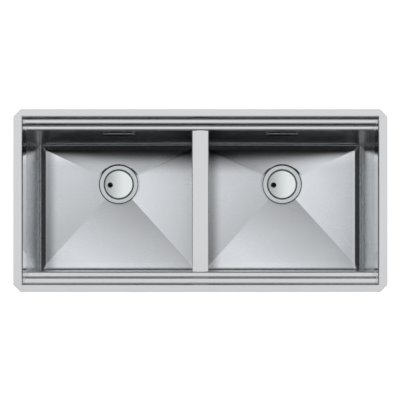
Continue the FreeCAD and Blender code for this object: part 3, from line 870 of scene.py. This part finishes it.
def rim_mesh():
    """Flat rim with cut corners, folded down into a skirt round the opening."""
    half_x, half_y, cut = RIM
    loops = [deck_loop(half_x, -half_y, half_y, cut, cut / 2, -RIM_EDGE),
             deck_loop(half_x - RIM_EDGE, RIM_EDGE - half_y, half_y - RIM_EDGE, cut, cut / 2, 0.0)]
    x, front_y, rear_y = RIM_OPENING
    for inset, drop in crisp_bend(RIM_BEND):
        loops.append(deck_loop(x + RIM_END_BEND * inset, front_y - inset, rear_y + inset,
                               OPENING_CORNER, 0.0, -drop))
    loops.append(deck_loop(x, front_y, rear_y, OPENING_CORNER, 0.0, -RIM_SKIRT))
    return nested(loops)


def rail_mesh(name):
    """Both ledges of one side, folded from one strip as long as the sink."""
    way, wall_y, step_y, bowl_y, foot_width = LEDGES[name]
    foot = crisp_bend(foot_width)[::-1]
    edge = crisp_bend(LEDGE_BEND)
    section = [(wall_y, -RIM_SKIRT)]
    for outer_y, inner_y, level in ((wall_y, step_y, UPPER_LEDGE), (step_y, bowl_y, LEDGE)):
        section += [(outer_y - way * inset, level + rise) for inset, rise in foot]
        section += [(inner_y + way * inset, level - drop) for inset, drop in edge]
    section.append((bowl_y, SEAM))
    points = [(x, y, z) for x in (-END_X, END_X) for y, z in section]
    count = len(section)
    faces = [(k, k + 1, k + 1 + count, k + count) for k in range(count - 1)]
    return points, faces if way > 0 else [face[::-1] for face in faces]


def end_mesh(side):
    """Plate that closes the ends of the ledges."""
    sign = -1 if side == "left" else 1
    outline = []
    for way, wall_y, step_y, bowl_y, _ in LEDGES.values():
        half = [(wall_y, -RIM_SKIRT), (wall_y, UPPER_LEDGE), (step_y, UPPER_LEDGE),
                (step_y, LEDGE), (bowl_y, LEDGE), (bowl_y, SEAM)]
        outline += half if way > 0 else half[::-1]
    return slab([(sign * END_X, y, z) for y, z in outline],
                [(sign * (END_X + SHEET), y, z) for y, z in outline])


rim = new_piece("folded_rim", *rim_mesh(), sheet_steel, "sink", "brushed_sheet")
thicken(rim, SHEET)
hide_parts("rim_frame")
for name in LEDGES:
    rail = new_piece(name + "_folded_ledges", *rail_mesh(name), sheet_steel, "sink",
                     "brushed_sheet")
    thicken(rail, SHEET, outside=outer_steel)
    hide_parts(name + "_ledge_rail")
for side in SIDES:
    end = new_piece(side + "_polished_end", *end_mesh(side), end_steel, "sink", "brushed_sheet")
    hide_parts(side + "_end_plate")


# ------------------------------------------------------------------ overflow plates

PLATE = (86.0, 25.0)
PLATE_X = 213.0
PLATE_Z = -72.0
PLATE_SHEET = 1.2
PLATE_STAND_OFF = 1.8
PLATE_EDGE = 0.7
CLIP_HALF_WIDTH = 4.0
SEAL_INSET = -3.0


def stadium(grow, depth, around=18):
    """Loop of the plate's outline as (along, up, depth), moved outwards by grow, or inwards
    where it is negative, at a depth in front of the wall."""
    half = PLATE[0] / 2 - PLATE[1] / 2
    radius = PLATE[1] / 2 + grow
    loop = []
    for centre, first in ((half, -90.0), (-half, 90.0)):
        for step in range(around + 1):
            angle = math.radians(first + 180.0 * step / around)
            loop.append((centre + radius * math.cos(angle), radius * math.sin(angle), depth))
    return loop


def on_rear_wall(side, points):
    """Points given as along, up and depth in front of the rear wall, at the overflow."""
    slope = REAR_LEAN / (LEDGE - FLOOR)
    length = math.hypot(slope, 1.0)
    wall_y = REAR_Y + slope * (PLATE_Z - FLOOR)
    sign = -1 if side == "left" else 1
    return [(sign * PLATE_X + along, wall_y + (up * slope - depth) / length,
             PLATE_Z + (up + depth * slope) / length) for along, up, depth in points]


def plate_mesh(side):
    """Pressed plate with a rounded edge, and two spring clips that hold it in the slot."""
    back = PLATE_STAND_OFF
    front = back + PLATE_SHEET
    loops = [stadium(-PLATE_SHEET, back), stadium(0.0, back), stadium(0.0, front - PLATE_EDGE)]
    loops += [stadium(run - PLATE_EDGE, front - PLATE_EDGE + rise)
              for run, rise in quarter(PLATE_EDGE)[1:]]
    points, faces = capped(loops)
    parts = [(on_rear_wall(side, points), faces + [tuple(range(len(loops[0])))[::-1]])]
    for way in (-1, 1):
        reach = way * (SLOT_X[1] - SLOT_X[0]) / 2
        section = [(reach, back + 0.2), (reach, -4.0), (reach + way * 0.9, -6.0),
                   (reach - way * 1.2, -9.0), (reach - way * 2.0, -8.4), (reach - way * 0.1, -6.0),
                   (reach - way * 1.0, -4.0), (reach - way * 1.0, back + 0.2)]
        points, faces = slab(*[[(along, up, depth) for along, depth in section]
                               for up in (-CLIP_HALF_WIDTH, CLIP_HALF_WIDTH)])
        parts.append((on_rear_wall(side, points), faces))
    return joined(parts)


def gap_shadow_seal_mesh(side):
    """Soft dark rubber foot of the plate, put in the gap round it as painted shade: it shows as a
    thin dark line all round, in place of the gap's shadow.
    """
    loops = [stadium(SEAL_INSET, 0.05), stadium(0.5, 0.05), stadium(0.9, 0.6),
             stadium(0.5, 1.6), stadium(-0.4, PLATE_STAND_OFF),
             stadium(SEAL_INSET, PLATE_STAND_OFF)]
    points, faces = nested(loops + loops[:1])
    return on_rear_wall(side, points), faces


points, faces = joined([plate_mesh(side) for side in SIDES])
plates = new_piece("pressed_overflow_plates", points, faces, plate_steel, "sink",
                   "brushed_sheet", EDGE_ANGLE)
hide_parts("overflow_covers")
# Dark rubber feet of the overflow plates, standing in for the shadow in the gap round them.
points, faces = joined([gap_shadow_seal_mesh(side) for side in SIDES])
new_piece("overflow_gap_shadow_seals", points, faces, black_rubber, "sink", "seal_rubber",
          EDGE_ANGLE)


# ------------------------------------------------------------------ studio

FLOOR_Z = cad_box[0][2] - 0.0005
FLOOR_REACH = 6.0

# Edges of the overhead panel of light as slopes of the direction, (where it starts to fade,
# where it is gone): aside, ahead of the sink and behind it; and those of the gap in it.
PANEL_ASIDE = (0.28, 0.55)
PANEL_AHEAD = (-0.05, -0.15)
PANEL_BEHIND = (2.2, 3.2)
PANEL_SPREAD = (0.2, -0.6)
GAP_START = (0.45, 0.6)
GAP_END = (0.9, 1.1)

# The room round it: everywhere, low down and ahead, and its pale side walls.
ROOM_LIGHT = 0.03
LOW_LIGHT = 0.57
SIDE_LIGHT = 0.8
LOW_HEIGHTS = (0.1, 0.45)
AHEAD_FADE = (-0.2, 0.1, 0.1)
SIDE_WALLS = (1.4, 1.9)


def studio_world():
    """Overhead softbox in a dim room with pale walls, white where the camera looks past it."""
    world = bpy.data.worlds.new("studio")
    scene.world = world
    world.use_nodes = True
    tree = world.node_tree
    tree.nodes.clear()
    parts = add(tree, "ShaderNodeSeparateXYZ", inputs={
        "Vector": add(tree, "ShaderNodeTexCoord").outputs["Generated"]})
    up = add(tree, MATH, {"operation": "MAXIMUM"}, {0: parts.outputs["Z"], 1: 0.001})
    slope_x, slope_y = [
        add(tree, MATH, {"operation": "DIVIDE"}, {0: parts.outputs[axis], 1: up}) for axis in "XY"]
    aside = add(tree, MATH, {"operation": "ABSOLUTE"}, {0: slope_x})

    # The panel widens towards the rear, and has a dark gap across it.
    spread = add(tree, MATH, {"operation": "MAXIMUM"}, {0: slope_y, 1: PANEL_SPREAD[0]})
    narrowed = add(tree, MATH, {"operation": "MULTIPLY_ADD"}, {
        0: spread, 1: PANEL_SPREAD[1], 2: aside})
    panel = add(tree, MATH, {"operation": "MAXIMUM"}, {
        0: add(tree, RAMP, SMOOTH, {"Value": slope_y, "From Min": GAP_START[0],
                                    "From Max": GAP_START[1], "To Min": 1.0, "To Max": 0.0}),
        1: add(tree, RAMP, SMOOTH, {"Value": slope_y, "From Min": GAP_END[0],
                                    "From Max": GAP_END[1]})})
    for slope, (full, gone) in ((narrowed, PANEL_ASIDE), (slope_y, PANEL_AHEAD),
                                (slope_y, PANEL_BEHIND)):
        fade = add(tree, RAMP, SMOOTH, {"Value": slope, "From Min": full, "From Max": gone,
                                        "To Min": 1.0, "To Max": 0.0})
        panel = add(tree, MATH, {"operation": "MULTIPLY"}, {0: panel, 1: fade})

    low = add(tree, RAMP, SMOOTH, {
        "Value": parts.outputs["Z"], "From Min": LOW_HEIGHTS[0], "From Max": LOW_HEIGHTS[1],
        "To Min": LOW_LIGHT, "To Max": 0.0})
    ahead = add(tree, RAMP, SMOOTH, {
        "Value": parts.outputs["Y"], "From Min": AHEAD_FADE[0], "From Max": AHEAD_FADE[1],
        "To Min": 1.0, "To Max": AHEAD_FADE[2]})
    side_wall = add(tree, RAMP, SMOOTH, {
        "Value": aside, "From Min": SIDE_WALLS[0], "From Max": SIDE_WALLS[1],
        "To Min": 0.0, "To Max": SIDE_LIGHT})
    wall = add(tree, MATH, {"operation": "MULTIPLY_ADD"}, {0: low, 1: ahead, 2: ROOM_LIGHT})
    wall = add(tree, MATH, {"operation": "MAXIMUM"}, {0: wall, 1: side_wall})
    room = add(tree, MATH, {"operation": "ADD"}, {0: panel, 1: wall})
    strength = add(tree, "ShaderNodeMix", inputs={
        "Factor": add(tree, "ShaderNodeLightPath").outputs["Is Camera Ray"], "A": room, "B": 1.0})
    background = add(tree, "ShaderNodeBackground", inputs={
        "Color": linear("#FFFFFF"), "Strength": strength})
    add(tree, "ShaderNodeOutputWorld", inputs={"Surface": background})


def studio_floor():
    """Pale matt floor that the sink rests on, white to the camera and where metal mirrors it."""
    mesh = bpy.data.meshes.new("studio_floor")
    corners = [(x * FLOOR_REACH, y * FLOOR_REACH, FLOOR_Z)
               for x, y in ((-1, -1), (1, -1), (1, 1), (-1, 1))]
    mesh.from_pydata(corners, [], [(0, 1, 2, 3)])
    floor = bpy.data.objects.new("studio_floor", mesh)
    scene.collection.objects.link(floor)
    material, tree = new_material("painted_studio_floor")
    rays = add(tree, "ShaderNodeLightPath").outputs
    glow = rays["Is Camera Ray"]
    for kind in ("Is Glossy Ray", "Is Transmission Ray"):
        glow = add(tree, MATH, {"operation": "MAXIMUM"}, {0: glow, 1: rays[kind]})
    shader = add(tree, "ShaderNodeBsdfPrincipled", inputs={
        "Base Color": linear("#F2F2F2"), "Roughness": 0.9,
        "Emission Color": linear("#FFFFFF"), "Emission Strength": glow})
    add(tree, "ShaderNodeOutputMaterial", inputs={"Surface": shader})
    mesh.materials.append(material)


studio_world()
studio_floor()

lamp = bpy.data.objects.new("overhead_softbox", bpy.data.lights.new("overhead_softbox", "AREA"))
scene.collection.objects.link(lamp)
lamp.data.shape = "RECTANGLE"
lamp.data.size = 1.6
lamp.data.size_y = 1.0
lamp.data.energy = 12.0
lamp.location = (0.0, 0.5, 2.4)
lamp.visible_glossy = False
